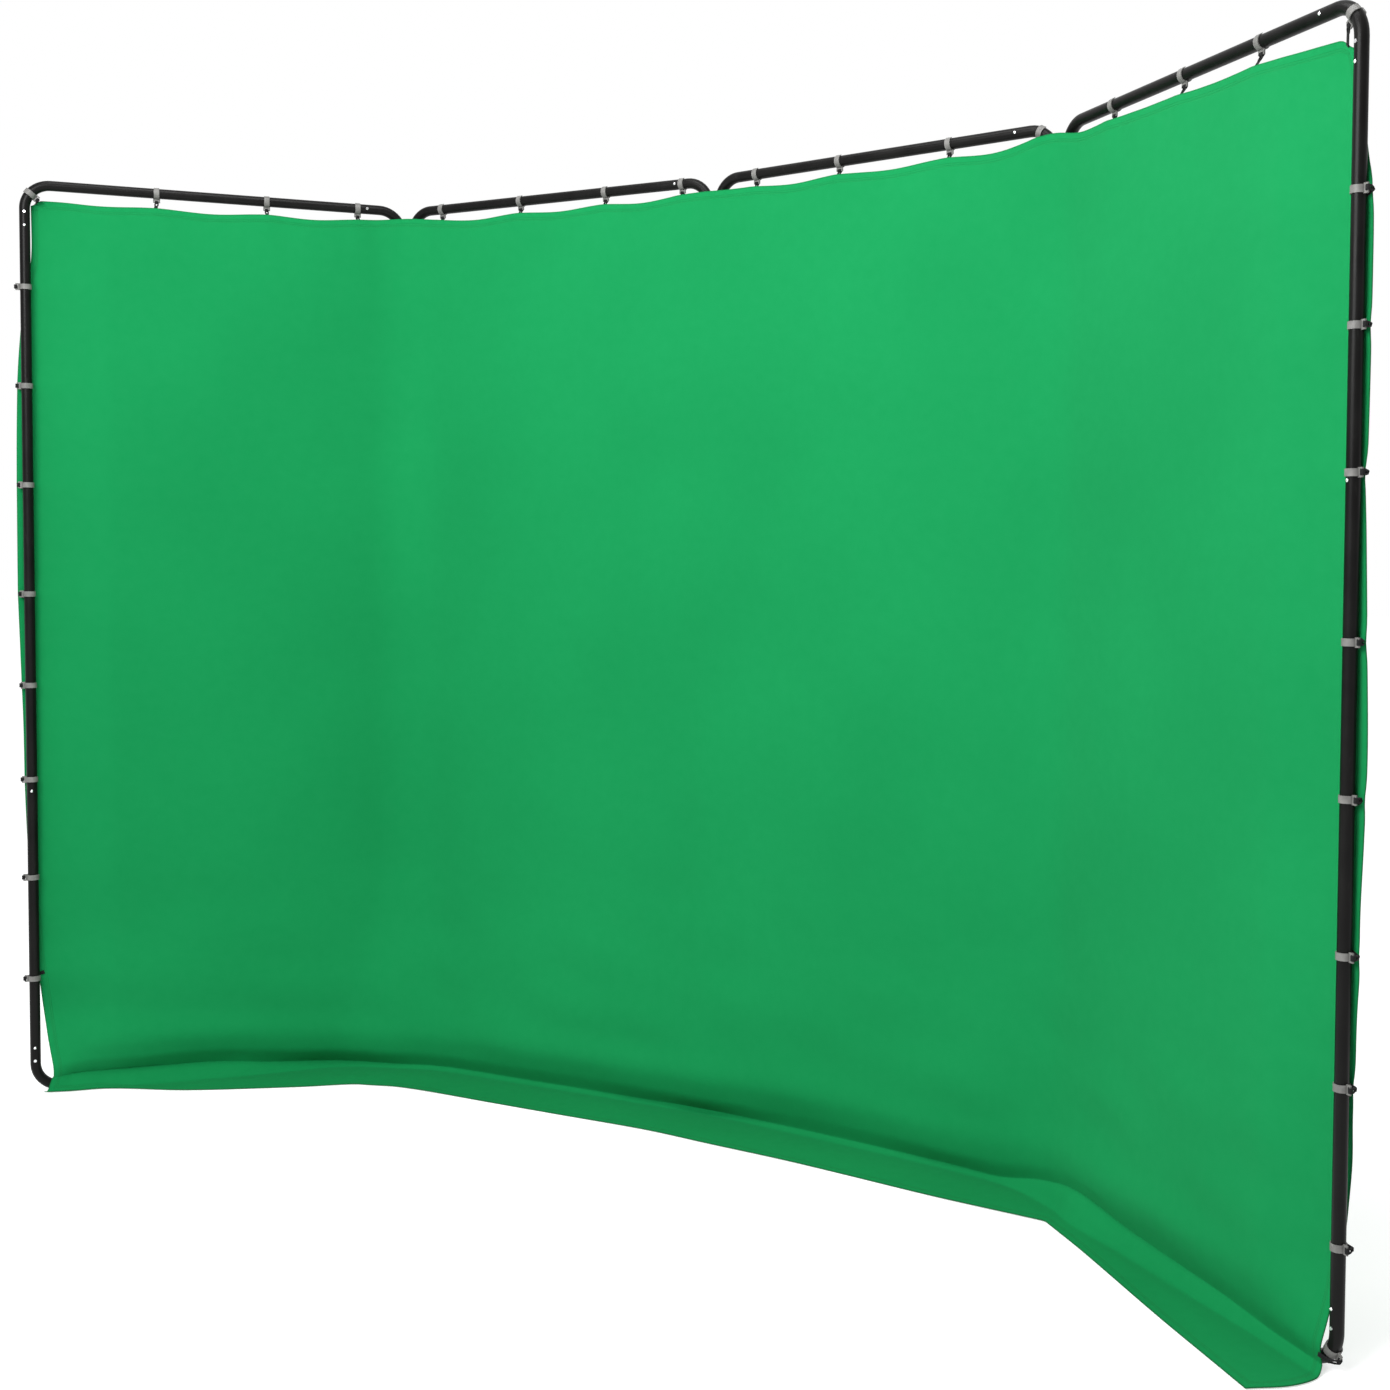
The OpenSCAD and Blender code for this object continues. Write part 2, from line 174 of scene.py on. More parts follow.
# ---------------------------------------------------------------- materials
class Nodes:
    """A node tree with short calls."""

    def __init__(self, name):
        self.material = bpy.data.materials.new(name)
        self.material.use_nodes = True
        self.tree = self.material.node_tree
        self.tree.nodes.clear()
        self.out = self.add("ShaderNodeOutputMaterial")
        self.shader = self.add("ShaderNodeBsdfPrincipled")
        self.tree.links.new(self.shader.outputs[0], self.out.inputs[0])

    def add(self, kind, **settings):
        node = self.tree.nodes.new(kind)
        for key, value in settings.items():
            setattr(node, key, value)
        return node

    def link(self, source, target):
        self.tree.links.new(source, target)

    def put(self, value, socket):
        if isinstance(value, bpy.types.NodeSocket):
            self.link(value, socket)
        else:
            socket.default_value = value

    def math(self, operation, a, b=0.0, c=0.0, clamp=False):
        node = self.add("ShaderNodeMath", operation=operation, use_clamp=clamp)
        for value, socket in zip((a, b, c), node.inputs):
            self.put(value, socket)
        return node.outputs[0]

    def object_point(self, scale=(1, 1, 1)):
        mapping = self.add("ShaderNodeMapping")
        mapping.inputs["Scale"].default_value = scale
        self.link(self.add("ShaderNodeTexCoord").outputs["Object"], mapping.inputs["Vector"])
        return mapping.outputs[0]

    def noise(self, vector, scale, detail=2.0, roughness=0.5, distortion=0.0):
        node = self.add("ShaderNodeTexNoise")
        self.link(vector, node.inputs["Vector"])
        node.inputs["Scale"].default_value = scale
        node.inputs["Detail"].default_value = detail
        node.inputs["Roughness"].default_value = roughness
        node.inputs["Distortion"].default_value = distortion
        return node.outputs["Fac"]

    def range(self, value, low, high, to_low=0.0, to_high=1.0):
        node = self.add("ShaderNodeMapRange", clamp=True)
        self.put(value, node.inputs["Value"])
        for key, number in (("From Min", low), ("From Max", high), ("To Min", to_low), ("To Max", to_high)):
            node.inputs[key].default_value = number
        return node.outputs[0]

    def mix(self, factor, a, b):
        node = self.add("ShaderNodeMix", data_type="RGBA")
        self.put(factor, node.inputs[0])
        self.put(a, node.inputs[6])
        self.put(b, node.inputs[7])
        return node.outputs[2]

    def bump(self, height, strength, distance, before=None):
        node = self.add("ShaderNodeBump")
        node.inputs["Strength"].default_value = strength
        node.inputs["Distance"].default_value = distance
        self.link(height, node.inputs["Height"])
        if before is not None:
            self.link(before, node.inputs["Normal"])
        return node.outputs[0]


def rgb(r, g, b):
    return (r, g, b, 1.0)


WALE, COURSE, STITCH_PITCH = 0.0011, 0.0009, 0.0042


def stitch_distance(m, edge, row):
    return m.math("ABSOLUTE", m.math("SUBTRACT", edge, row))


def cloth_material():
    """Matt knitted cloth: fine rows of stitches, soft pile, slow tone changes and a stitched hem."""
    m = Nodes("green_cloth")
    uv = m.add("ShaderNodeUVMap", uv_map="cloth").outputs[0]
    hem = m.add("ShaderNodeUVMap", uv_map="hem").outputs[0]
    split = m.add("ShaderNodeSeparateXYZ")
    m.link(uv, split.inputs[0])
    x, y = split.outputs[0], split.outputs[1]
    hem_split = m.add("ShaderNodeSeparateXYZ")
    m.link(hem, hem_split.inputs[0])
    run, edge = hem_split.outputs[0], hem_split.outputs[1]
    wales = m.math("SINE", m.math("MULTIPLY", x, 2 * math.pi / WALE))
    courses = m.math("SINE", m.math("MULTIPLY", y, 2 * math.pi / COURSE))
    knit = m.math("MULTIPLY", wales, courses)
    pile = m.noise(uv, 900, 3, 0.65)
    slow = m.noise(uv, 2.2, 2, 0.45)
    fine = m.noise(uv, 34, 4, 0.6)
    colour = m.mix(m.range(slow, 0.3, 0.7), rgb(0.0030, 0.163, 0.0455), rgb(0.0038, 0.179, 0.0505))
    colour = m.mix(m.range(fine, 0.35, 0.75, 0, 0.18), colour, rgb(0.0010, 0.140, 0.034))
    colour = m.mix(m.range(pile, 0.3, 0.8, 0, 0.16), colour, rgb(0.0050, 0.225, 0.070))
    # the double stitch of the hem, with painted shade in the grooves along its rows and painted shade on the fold
    # at the very edge
    rows_off = [stitch_distance(m, edge, row) for row in STITCH_ROWS]
    lines = [m.math("LESS_THAN", off, STITCH_W / 2) for off in rows_off]
    dash = m.math("GREATER_THAN", m.math("FRACT", m.math("MULTIPLY", run, 1 / STITCH_PITCH)), 0.28)
    stitch = m.math("MULTIPLY", m.math("ADD", *lines, clamp=True), dash)
    row_dips_and_shade = [m.range(off, 0.0, 0.0024, 1, 0) for off in rows_off]
    groove_depth_and_shade = m.math("ADD", *row_dips_and_shade, clamp=True)
    # painted shade: the cloth is darkened in the grooves along the stitch rows; the same depths also drive the
    # bump below
    colour = m.mix(m.math("MULTIPLY", groove_depth_and_shade, 0.30), colour, rgb(0.002, 0.075, 0.018))
    colour = m.mix(m.math("MULTIPLY", stitch, 0.75), colour, rgb(0.008, 0.20, 0.055))
    # painted shade: the cloth is darkened over the last 3.5 mm at its folded edge
    colour = m.mix(m.range(edge, 0.0, 0.0035, 0.45, 0.0), colour, rgb(0.0012, 0.065, 0.016))
    m.link(colour, m.shader.inputs["Base Color"])
    m.link(m.range(fine, 0.3, 0.8, 0.80, 0.93), m.shader.inputs["Roughness"])
    m.shader.inputs["Specular IOR Level"].default_value = 0.07
    m.shader.inputs["Sheen Weight"].default_value = 0.015
    m.shader.inputs["Sheen Roughness"].default_value = 0.55
    m.shader.inputs["Sheen Tint"].default_value = rgb(0.55, 1.0, 0.75)
    creased = m.bump(m.noise(uv, 7.5, 3, 0.5, 0.4), 0.35, 0.004)
    knitted = m.bump(m.math("MULTIPLY_ADD", knit, 0.5, pile), 0.28, 0.00045, creased)
    sewn = m.bump(m.math("SUBTRACT", m.math("MULTIPLY", stitch, 0.6), groove_depth_and_shade), 0.55, 0.0009, knitted)
    m.link(sewn, m.shader.inputs["Normal"])
    return m.material


def frame_material():
    """Satin powder coat: a fine orange-peel skin, slow changes of gloss and a few dull scuffs."""
    m = Nodes("frame_black")
    p = m.object_point()
    long_scuffs = m.noise(m.object_point((6, 6, 1.2)), 9, 5, 0.7, 0.6)
    peel = m.noise(p, 1500, 3, 0.6)
    slow = m.noise(p, 14, 3, 0.5)
    scuff = m.range(long_scuffs, 0.60, 0.74)
    colour = m.mix(m.range(slow, 0.3, 0.7), rgb(0.0032, 0.0030, 0.0030), rgb(0.0052, 0.0050, 0.0048))
    colour = m.mix(m.math("MULTIPLY", scuff, 0.5), colour, rgb(0.013, 0.013, 0.012))
    m.link(colour, m.shader.inputs["Base Color"])
    m.link(m.math("ADD", m.range(slow, 0.3, 0.7, 0.30, 0.40), m.math("MULTIPLY", scuff, 0.14)),
           m.shader.inputs["Roughness"])
    m.shader.inputs["Specular IOR Level"].default_value = 0.10
    m.link(m.bump(peel, 0.16, 0.0003), m.shader.inputs["Normal"])
    return m.material


def metal_material(name, colour, rough, stretch):
    """Bare metal with fine marks of drawing or turning, dulled in patches."""
    m = Nodes(name)
    marks = m.noise(m.object_point(stretch), 300, 4, 0.65)
    patches = m.noise(m.object_point(), 60, 3, 0.6)
    dark = tuple(c * 0.62 for c in colour)
    tone = m.mix(m.range(patches, 0.35, 0.75, 0, 0.6), rgb(*colour), rgb(*dark))
    m.link(tone, m.shader.inputs["Base Color"])
    m.shader.inputs["Metallic"].default_value = 1.0
    dulled = m.range(patches, 0.3, 0.7, rough, rough + 0.14)
    m.link(m.math("ADD", dulled, m.range(marks, 0.3, 0.7, -0.03, 0.05)), m.shader.inputs["Roughness"])
    m.link(m.bump(marks, 0.2, 0.0002), m.shader.inputs["Normal"])
    return m.material


def plastic_material(name, light, dark, rough, grain):
    """Moulded plastic: spark-eroded grain, slightly paler rubbed spots."""
    m = Nodes(name)
    p = m.object_point()
    texture = m.noise(p, grain, 3, 0.6)
    slow = m.noise(p, 55, 3, 0.55)
    rubbed = m.range(m.noise(p, 130, 4, 0.7), 0.58, 0.72)
    colour = m.mix(m.range(slow, 0.3, 0.7), rgb(*dark), rgb(*light))
    pale = rgb(*(min(1, 1.35 * c + 0.01) for c in light))
    colour = m.mix(m.math("MULTIPLY", rubbed, 0.35), colour, pale)
    m.link(colour, m.shader.inputs["Base Color"])
    m.link(m.range(slow, 0.3, 0.7, rough, rough + 0.12), m.shader.inputs["Roughness"])
    m.shader.inputs["Specular IOR Level"].default_value = 0.30
    m.link(m.bump(texture, 0.25, 0.0003), m.shader.inputs["Normal"])
    return m.material


def elastic_material():
    """Braided elastic: small diagonal ribs of black yarn."""
    m = Nodes("elastic_black")
    p = m.object_point()
    ribs = m.add("ShaderNodeTexWave", wave_type="BANDS", bands_direction="DIAGONAL")
    m.link(p, ribs.inputs["Vector"])
    ribs.inputs["Scale"].default_value = 330
    ribs.inputs["Distortion"].default_value = 1.5
    fluff = m.noise(p, 1400, 3, 0.7)
    colour = m.mix(ribs.outputs["Fac"], rgb(0.003, 0.003, 0.003), rgb(0.013, 0.013, 0.014))
    colour = m.mix(m.range(fluff, 0.5, 0.8, 0, 0.3), colour, rgb(0.05, 0.05, 0.05))
    m.link(colour, m.shader.inputs["Base Color"])
    m.link(m.range(fluff, 0.3, 0.7, 0.72, 0.92), m.shader.inputs["Roughness"])
    m.shader.inputs["Specular IOR Level"].default_value = 0.10
    m.shader.inputs["Sheen Weight"].default_value = 0.03
    m.link(m.bump(ribs.outputs["Fac"], 0.5, 0.0004), m.shader.inputs["Normal"])
    return m.material


def floor_material():
    """A pale studio floor that glows a little, so that it reads as white."""
    m = Nodes("pale_floor")
    p = m.object_point()
    colour = m.mix(m.range(m.noise(p, 1.6, 3, 0.5), 0.3, 0.7), rgb(0.60, 0.60, 0.60), rgb(0.64, 0.64, 0.64))
    m.link(colour, m.shader.inputs["Base Color"])
    m.shader.inputs["Roughness"].default_value = 0.85
    m.shader.inputs["Specular IOR Level"].default_value = 0.1
    m.shader.inputs["Emission Color"].default_value = rgb(1, 1, 1)
    m.shader.inputs["Emission Strength"].default_value = 0.56
    return m.material


GREEN = cloth_material()
FINISH = {
    "frame_black": frame_material(),
    "sleeve_metal": metal_material("sleeve_metal", (0.62, 0.62, 0.63), 0.34, (1, 1, 0.06)),
    "button_metal": metal_material("button_metal", (0.86, 0.86, 0.87), 0.16, (1, 1, 1)),
    "rivet_metal": metal_material("rivet_metal", (0.80, 0.80, 0.82), 0.24, (1, 1, 1)),
    "clip_grey": plastic_material("clip_grey", (0.150, 0.148, 0.142), (0.095, 0.094, 0.090), 0.42, 900),
    "elastic_black": elastic_material(),
    "cloth_green": GREEN,
    "hinge_black": plastic_material("hinge_black", (0.014, 0.014, 0.014), (0.008, 0.008, 0.008), 0.45, 1100),
    "bolt_metal": metal_material("bolt_metal", (0.60, 0.60, 0.62), 0.30, (1, 1, 1)),
}
SLOT_OF = {row["node"]: row["material_slot"] for row in frame["record"]["subparts"]}
for name, node in frame["nodes"].items():
    node.data.materials.clear()
    node.data.materials.append(FINISH[SLOT_OF[name]])


# ---------------------------------------------------------------- the cloth
TURN = [0.0] + [
    math.acos(float(np.clip(ALONG[k - 1] @ ALONG[k], -1, 1))) for k in (1, 2, 3)
]


def wall_point(s, off, fillet):
    """Plan position at s along the wall and off in front of it, with each hinge rounded over fillet."""
    s, off = np.broadcast_arrays(np.asarray(s, float), np.asarray(off, float))
    n = np.clip(np.floor(s / PITCH), 0, 3).astype(int)
    out = np.zeros(s.shape + (2,))
    for i in range(4):
        here = n == i
        u = s - i * PITCH
        straight = AXES[i] + u[..., None] * ALONG[i] + off[..., None] * FRONT[i]
        out[here] = straight[here]
    for k in (1, 2, 3):
        r = fillet[k]
        ds = s - k * PITCH
        near = np.abs(ds) < r
        middle = FRONT[k - 1] + FRONT[k]
        middle = middle / np.linalg.norm(middle)
        a = AXES[k] - np.asarray(r)[..., None] * ALONG[k - 1] + off[..., None] * FRONT[k - 1]
        b = AXES[k] + np.asarray(r)[..., None] * ALONG[k] + off[..., None] * FRONT[k]
        c = AXES[k] + (off / math.cos(TURN[k] / 2))[..., None] * middle
        t = np.clip((ds + r) / (2 * r), 0, 1)[..., None]
        curve = (1 - t) ** 2 * a + 2 * t * (1 - t) * c + t * t * b
        out[near] = curve[near]
    return out


def spline(knots, x):
    """A smooth line through (x, value) pairs, with no overshoot."""
    kx = np.array([k[0] for k in knots], float)
    ky = np.array([k[1] for k in knots], float)
    h = np.diff(kx)
    d = np.diff(ky) / h
    m = np.zeros(len(kx))
    m[0], m[-1] = d[0], d[-1]
    for i in range(1, len(kx) - 1):
        if d[i - 1] * d[i] > 0:
            m[i] = 2 * d[i - 1] * d[i] / (d[i - 1] + d[i])
    x = np.clip(x, kx[0], kx[-1])
    i = np.clip(np.searchsorted(kx, x, side="right") - 1, 0, len(h) - 1)
    t = (x - kx[i]) / h[i]
    return ((1 + 2 * t) * (1 - t) ** 2 * ky[i] + t * (1 - t) ** 2 * h[i] * m[i]
            + t * t * (3 - 2 * t) * ky[i + 1] + t * t * (t - 1) * h[i] * m[i + 1])


def wall_noise(x, y, seed):
    """Smooth repeatable noise from -1 to 1."""
    total = np.zeros(np.broadcast(x, y).shape)
    for k in range(5):
        a = seed * 1.7 + k * 2.399
        fx, fy = math.cos(a) * (1 + 0.6 * k), math.sin(a) * (1 + 0.6 * k)
        total += np.sin(2 * math.pi * (fx * x + fy * y) + seed * 5.3 + k * 1.9) / (1 + 0.5 * k)
    return total / 3.1


def top_line(s):
    """Height of the top hem: it hangs a little between the clips and is drawn up over the hinges."""
    z = np.full(np.shape(s), CLOTH_TOP)
    for a, b in zip(TOP_HOOKS, TOP_HOOKS[1:]):
        t = np.clip((s - a) / (b - a), 0, 1)
        slack = 0.0035 + 0.012 * (b - a) if a < 3 * PITCH else 0.0010 + 0.004 * (b - a)
        z = z - slack * np.sin(math.pi * t) ** 2
    for k, lift in ((1, 0.016), (2, 0.009), (3, 0.018)):
        z = z + lift * bump(k * PITCH - 0.01, 0.09, s)
    z = z - 0.008 * smooth(0.85, 0.1, s)
    z = z + 0.006 * smooth(0.36, 0.05, s)
    z = z - 0.011 * smooth(3 * PITCH + 0.18, 3 * PITCH + 0.64, s)
    z = z - 0.014 * smooth(S_LEFT + 0.030, S_LEFT, s) ** 1.5
    z = z - 0.004 * smooth(S_POST - 0.30, S_POST - 0.07, s)
    z = z - 0.018 * smooth(S_RIGHT - 0.034, S_RIGHT, s) ** 1.5
    return z


# The lines of the cloth's side hems, as (height, distance) pairs. They were read off a picture of the
# wall through the camera above, and rounded; some were then moved.
LEFT_EDGE = [(0.03, 0.048), (0.07, 0.042), (0.14, 0.029), (0.215, 0.018), (0.28, 0.011), (0.36, 0.000),
             (0.55, -0.010), (0.80, -0.018), (0.92, -0.019), (1.12, -0.024), (1.30, -0.028), (1.58, -0.027),
             (1.79, -0.023), (1.95, -0.012), (2.04, -0.002), (2.09, 0.011), (2.15, 0.014), (2.24, 0.013)]
RIGHT_EDGE = [(0.00, -0.014), (0.03, -0.016), (0.08, -0.014), (0.12, -0.015), (0.16, -0.016), (0.22, -0.005),
              (0.35, 0.003), (0.49, 0.008), (0.62, 0.014), (0.71, 0.019), (0.76, 0.017), (0.90, 0.022),
              (1.06, 0.027), (1.24, 0.022), (1.42, 0.015), (1.50, 0.011), (1.57, 0.015), (1.88, 0.018),
              (1.98, 0.016), (2.03, 0.004), (2.07, -0.004), (2.23, -0.040)]


def left_edge(z):
    """Where the left hem runs, along the first panel, at each height."""
    return spline(LEFT_EDGE, z)


def right_edge(z):
    """Where the right hem runs, as a distance past the right end post."""
    return spline(RIGHT_EDGE, z)


# The floor skirt, read in the same way. CREASE is how far the crease lies in front of the posts and
# CREASE_Z its height, both by place along the wall. A hem knot is its place along the wall, its panel,
# its place along that panel and its distance in front of it.
CREASE = [(-0.02, 0.026), (0.10, 0.028), (0.45, 0.034), (0.70, 0.045), (0.95, 0.085), (1.12, 0.080),
          (1.40, 0.074), (1.75, 0.066), (2.00, 0.055), (2.30, 0.040), (2.60, 0.032), (2.85, 0.040),
          (3.05, 0.034), (3.40, 0.027), (3.66, 0.019), (3.80, 0.017)]
CREASE_Z = [(-0.02, 0.034), (0.10, 0.036), (0.40, 0.034), (0.62, 0.018), (0.80, 0.009), (1.00, 0.006),
            (2.70, 0.006), (2.86, 0.030), (3.00, 0.046), (3.20, 0.030), (3.45, 0.022), (3.65, 0.012),
            (3.80, 0.010)]
HEM_KNOTS = [
    (0.00, 0, 0.020, 0.024), (0.06, 0, 0.080, 0.034), (0.14, 0, 0.160, 0.040), (0.34, 0, 0.350, 0.118),
    (0.62, 0, 0.630, 0.188), (0.78, 0, 0.780, 0.220), (1.16, 1, 0.200, 0.240), (1.50, 1, 0.560, 0.234),
    (1.80, 1, 0.860, 0.230), (2.07, 2, 0.170, 0.222), (2.26, 2, 0.360, 0.206), (2.43, 2, 0.525, 0.198),
    (2.70, 2, 0.790, 0.190), (2.93, 3, 0.150, 0.112), (3.14, 3, 0.300, 0.122), (3.42, 3, 0.590, 0.150),
    (3.66, 3, 0.800, 0.167), (S_POST + 0.035, 3, 0.909, 0.176),
]
CORNER_AT = 2.93


def hem_line(s):
    """Plan position of the skirt's front hem; it turns sharply at the last hinge."""
    points = np.array([panel_vector(n, u, off, 0)[:2] for _, n, u, off in HEM_KNOTS])
    at = np.array([k[0] for k in HEM_KNOTS])
    cut = int(np.argmin(abs(at - CORNER_AT)))
    s = np.asarray(s, float)
    out = np.zeros(s.shape + (2,))
    for axis in (0, 1):
        before = spline(list(zip(at[:cut + 1], points[:cut + 1, axis])), s)
        after = spline(list(zip(at[cut:], points[cut:, axis])), s)
        out[..., axis] = np.where(s < CORNER_AT, before, after)
    return out


def upright_offset(s, z):
    """How far the upright cloth stands in front of the line of posts: it falls slightly forward to
    its crease, and crosses to the back of the two end posts."""
    foot = spline(CREASE, s)
    off = CLOTH_OFF + (foot - CLOTH_OFF) * smooth(0.85, 0.0, z) ** 1.6
    back_left = smooth(0.205, 0.030, s) * smooth(0.055, 0.215, z)
    back_right = smooth(S_POST - 0.205, S_POST - 0.030, s) * smooth(0.02, 0.21, z)
    back = -(TUBE_R + 0.005)
    return off + (back - off) * np.maximum(back_left, back_right)


def away_from_ends(s):
    """1 along the wall, falling to 0 at the two end posts."""
    return smooth(0.03, 0.14, s) * smooth(S_POST - 0.03, S_POST - 0.14, s)


def tuck(s):
    """How deep the upright cloth is tucked in just above its crease."""
    return 0.012 + 0.022 * smooth(1.1, 0.3, s) - 0.008 * smooth(2.5, 3.0, s)


def wrinkles(s, z):
    """Slack, pulls from the clips and the soft rolls above the floor, as a distance outwards."""
    w = 0.0030 * wall_noise(s * 0.55, z * 0.45, 1.0)
    w = w + 0.0016 * wall_noise(s * 1.5, z * 1.1, 2.3) * smooth(2.1, 1.2, z)
    # drawn folds below the top clips
    for h in TOP_HOOKS:
        fall = CLOTH_TOP - z
        reach = np.clip(fall, 0, 1)
        w = w + 0.0022 * bump(h, 0.016 + 0.16 * reach, s) * np.exp(-fall / 0.10)
        w = w - 0.0014 * bump(h + 0.05 + 0.2 * fall, 0.025 + 0.10 * reach, s) * np.exp(-fall / 0.16)
    # pulls towards the clips on the end posts
    for h in LEFT_HOOKS:
        w = w + 0.0026 * bump(h, 0.022 + 0.16 * np.clip(s, 0, 1), z) * np.exp(-np.clip(s, 0, 9) / 0.13)
    for h in RIGHT_HOOKS:
        r = S_POST - s
        w = w + 0.0026 * bump(h, 0.022 + 0.16 * np.clip(r, 0, 1), z) * np.exp(-np.clip(r, 0, 9) / 0.13)
    # slack folds in the lower corners and a long soft roll above the crease
    lower = smooth(0.75, 0.15, z)
    w = w + 0.0070 * lower * wall_noise(s * 1.1 + z * 0.9, z * 2.4 - s * 0.35, 3.7)
    roll = bump(0.130 - 0.025 * smooth(0.2, 1.0, s), 0.045, z)
    ends = away_from_ends(s)
    w = w + 0.009 * roll * (0.55 + 0.45 * np.sin(s * 4.1 + 0.6)) * ends
    above = z - spline(CREASE_Z, s)
    w = w + 0.005 * bump(0.085, 0.040, above) * ends * smooth(3.1, 2.5, s)
    w = w - tuck(s) * smooth(0.042, 0.0, above) * ends
    w = w + 0.008 * bump(0.30 - 0.10 * s, 0.10, z) * smooth(1.3, 0.2, s) * (0.5 + 0.5 * np.sin(7 * s))
    return w


HINGE_2_CLEAR = 0.009  # holds the cloth a little further out at hinge 2, in front of its snap buttons
SIDE_REACH = 0.30  # how far in from the end posts the side hems draw the cloth
FOOT_RISE = 0.030  # from the crease to the lowest upright row


def cloth_columns():
    """Places along the wall of the grid's columns, closest together at the side hems."""
    marks = [S_LEFT, S_LEFT + 0.024, 0.10, 0.20, 1.5 * PITCH, 2.5 * PITCH, S_POST - 0.20, S_POST - 0.10,
             S_RIGHT - 0.024, S_RIGHT]
    steps = [0.004, 0.007, 0.010, 0.013, 0.013, 0.013, 0.010, 0.007, 0.004]
    places = [marks[0]]
    for a, b, step in zip(marks, marks[1:], steps):
        places += list(np.linspace(a, b, max(2, int(round((b - a) / step))) + 1)[1:])
    return np.array(places)


def upright_rows():
    """Share of the way from the top hem to the foot, closest together at the hem and near the floor."""
    down = np.concatenate([
        np.linspace(0.0, 0.024, 7)[:-1], np.linspace(0.024, 0.15, 12)[:-1], np.linspace(0.15, 1.55, 96)[:-1],
        np.linspace(1.55, 2.00, 48)[:-1], np.linspace(2.00, 2.16, 30)])
    return (down / down[-1])[None, :]


def skirt_rows():
    """Share of the way from the crease to the front hem."""
    return np.concatenate([np.linspace(0, 0.25, 12)[1:], np.linspace(0.25, 0.90, 14)[1:],
                           np.linspace(0.90, 1.0, 7)[1:]])[None, :]


def upright_part(s0, z_low, slide_left, slide_right):
    """The upright cloth, and the place along the wall of each column's lowest point."""
    z_top = top_line(s0[:, 0])[:, None]
    z = z_top + (z_low + FOOT_RISE - z_top) * upright_rows()
    s = s0 + (left_edge(z) - S_LEFT) * slide_left + (right_edge(z) - (S_RIGHT - S_POST)) * slide_right
    off = upright_offset(s, z) + wrinkles(s, z) + HINGE_2_CLEAR * bump(2 * PITCH, 0.08, s)
    fillet = [None, 0.115 + 0.10 * smooth(0.6, 0.0, z), 0.10 + 0 * s, 0.085 + 0 * s]
    return np.concatenate([wall_point(s, off, fillet), z[..., None]], axis=2), s[:, -1]


def crease_part(s, z_low):
    """The crease, tucked in under the upright cloth as far as the bottom rail lets it."""
    over_rail = smooth(0.026, 0.038, z_low[:, 0])
    inmost = np.maximum(spline(CREASE, s) - 0.004 - tuck(s) * away_from_ends(s), 0.0165 - 0.014 * over_rail)
    plan = wall_point(s, inmost, [None, 0.215 + 0 * s, 0.1 + 0 * s, 0.085 + 0 * s])
    return np.concatenate([plan, z_low], axis=1)


def front_hem(columns, slide_left, slide_right):
    """The front hem of the skirt, with its small ripple off the floor."""
    s = columns - S_LEFT * slide_left[:, 0] + (S_POST + 0.035 - S_RIGHT) * slide_right[:, 0]
    ripple = 0.0022 + 0.0022 * (0.5 + 0.5 * wall_noise(columns * 1.4, 0 * columns, 5.1))
    return np.concatenate([hem_line(s), ripple[:, None]], axis=1)


def skirt_part(s0, crease, hem):
    """The skirt: from the crease a short slope down to the floor, and then flat to the hem."""
    t = skirt_rows()
    low = crease[:, 2:3]
    depth = np.linalg.norm(hem[:, :2] - crease[:, :2], axis=1)[:, None]
    land = np.clip((low + 0.012) / np.maximum(depth, 0.03), 0.10, 0.75)
    fall = 1 - smooth(0.0, 1.0, t / land)
    plan = crease[:, None, :2] + (hem[:, None, :2] - crease[:, None, :2]) * t[..., None]
    spread = 0.025 * np.sin(math.pi * t ** 0.75) * smooth(S_POST - 0.12, S_RIGHT, s0) ** 2
    plan = plan + spread[..., None] * ALONG[3]
    wave = 0.0035 * (0.5 + 0.5 * wall_noise(s0 * 1.2, t * 0.5, 4.4)) * np.sin(math.pi * t)
    z = hem[:, 2:3] * t + 0.0018 * (1 - t) + wave + (low + 0.004) * fall
    return np.concatenate([plan, z[..., None]], axis=2)


def cloth_grid():
    """The whole cloth as one grid: columns along the wall, rows from the top hem over the crease to the
    front hem of the skirt."""
    columns = cloth_columns()
    s0 = columns[:, None]
    slide_left = 1 - smooth(S_LEFT, SIDE_REACH, s0)
    slide_right = smooth(S_POST - SIDE_REACH, S_RIGHT, s0)
    z_low = spline(CREASE_Z, columns)[:, None]
    upright, foot = upright_part(s0, z_low, slide_left, slide_right)
    crease = crease_part(foot, z_low)
    skirt = skirt_part(s0, crease, front_hem(columns, slide_left, slide_right))
    # a tight rounded turn from the upright cloth through the crease into the skirt
    turn = np.linspace(0, 1, 7)[1:-1][None, :, None]
    bend = (1 - turn) ** 2 * upright[:, -1:] + 2 * turn * (1 - turn) * crease[:, None]
    bend = bend + turn ** 2 * skirt[:, :1]
    return columns, np.concatenate([upright, bend, skirt], axis=1)


def smooth_rows(points, first, last, times):
    """Softens the rows from first to last, along the rows only."""
    for _ in range(times):
        middle = (points[:, first - 1:last - 1] + points[:, first + 1:last + 1]) / 2
        points[:, first:last] = 0.5 * points[:, first:last] + 0.5 * middle
    return points


columns, grid = cloth_grid()
rows = grid.shape[1]
LOW_ROWS = (rows - 50, rows - 24)  # the lowest upright rows, the crease and the start of the skirt
FLOOR_CLEAR = 0.0016
grid = smooth_rows(grid, *LOW_ROWS, 2)
grid[..., 2] = np.maximum(grid[..., 2], FLOOR_CLEAR)

